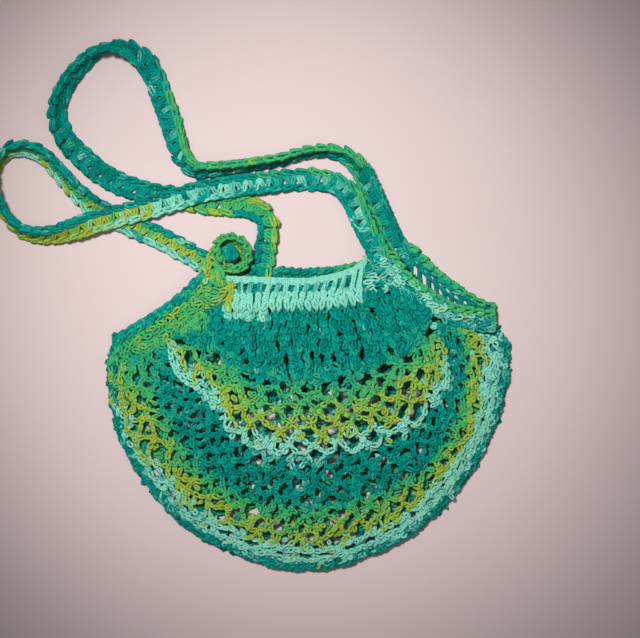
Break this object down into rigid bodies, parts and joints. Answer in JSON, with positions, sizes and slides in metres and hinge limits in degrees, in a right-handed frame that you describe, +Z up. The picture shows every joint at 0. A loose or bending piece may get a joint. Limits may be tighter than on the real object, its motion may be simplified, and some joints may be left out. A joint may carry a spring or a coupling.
{
  "type": "string shopping bag",
  "caption": "Hand-crocheted cotton string shopping bag with two long straps, lying flat with its front up.",
  "frame": {"origin": "middle of the box of the whole bag, on the surface that it lies on", "axes": "+Z up from the surface, +Y from the bag's bottom towards its mouth, +X to the right of its front"},
  "size_m": [0.3854, 0.397, 0.0272],
  "materials": {
    "net_yarn": "matte",
    "rim_yarn": "matte",
    "strap_yarn": "matte"
  },
  "bodies": {
    "root": {"net_back": "net_yarn", "net_front": "net_yarn", "rim_back": "rim_yarn", "rim_front": "rim_yarn", "strap_back": "strap_yarn", "strap_front": "strap_yarn"}
  },
  "joints": []
}
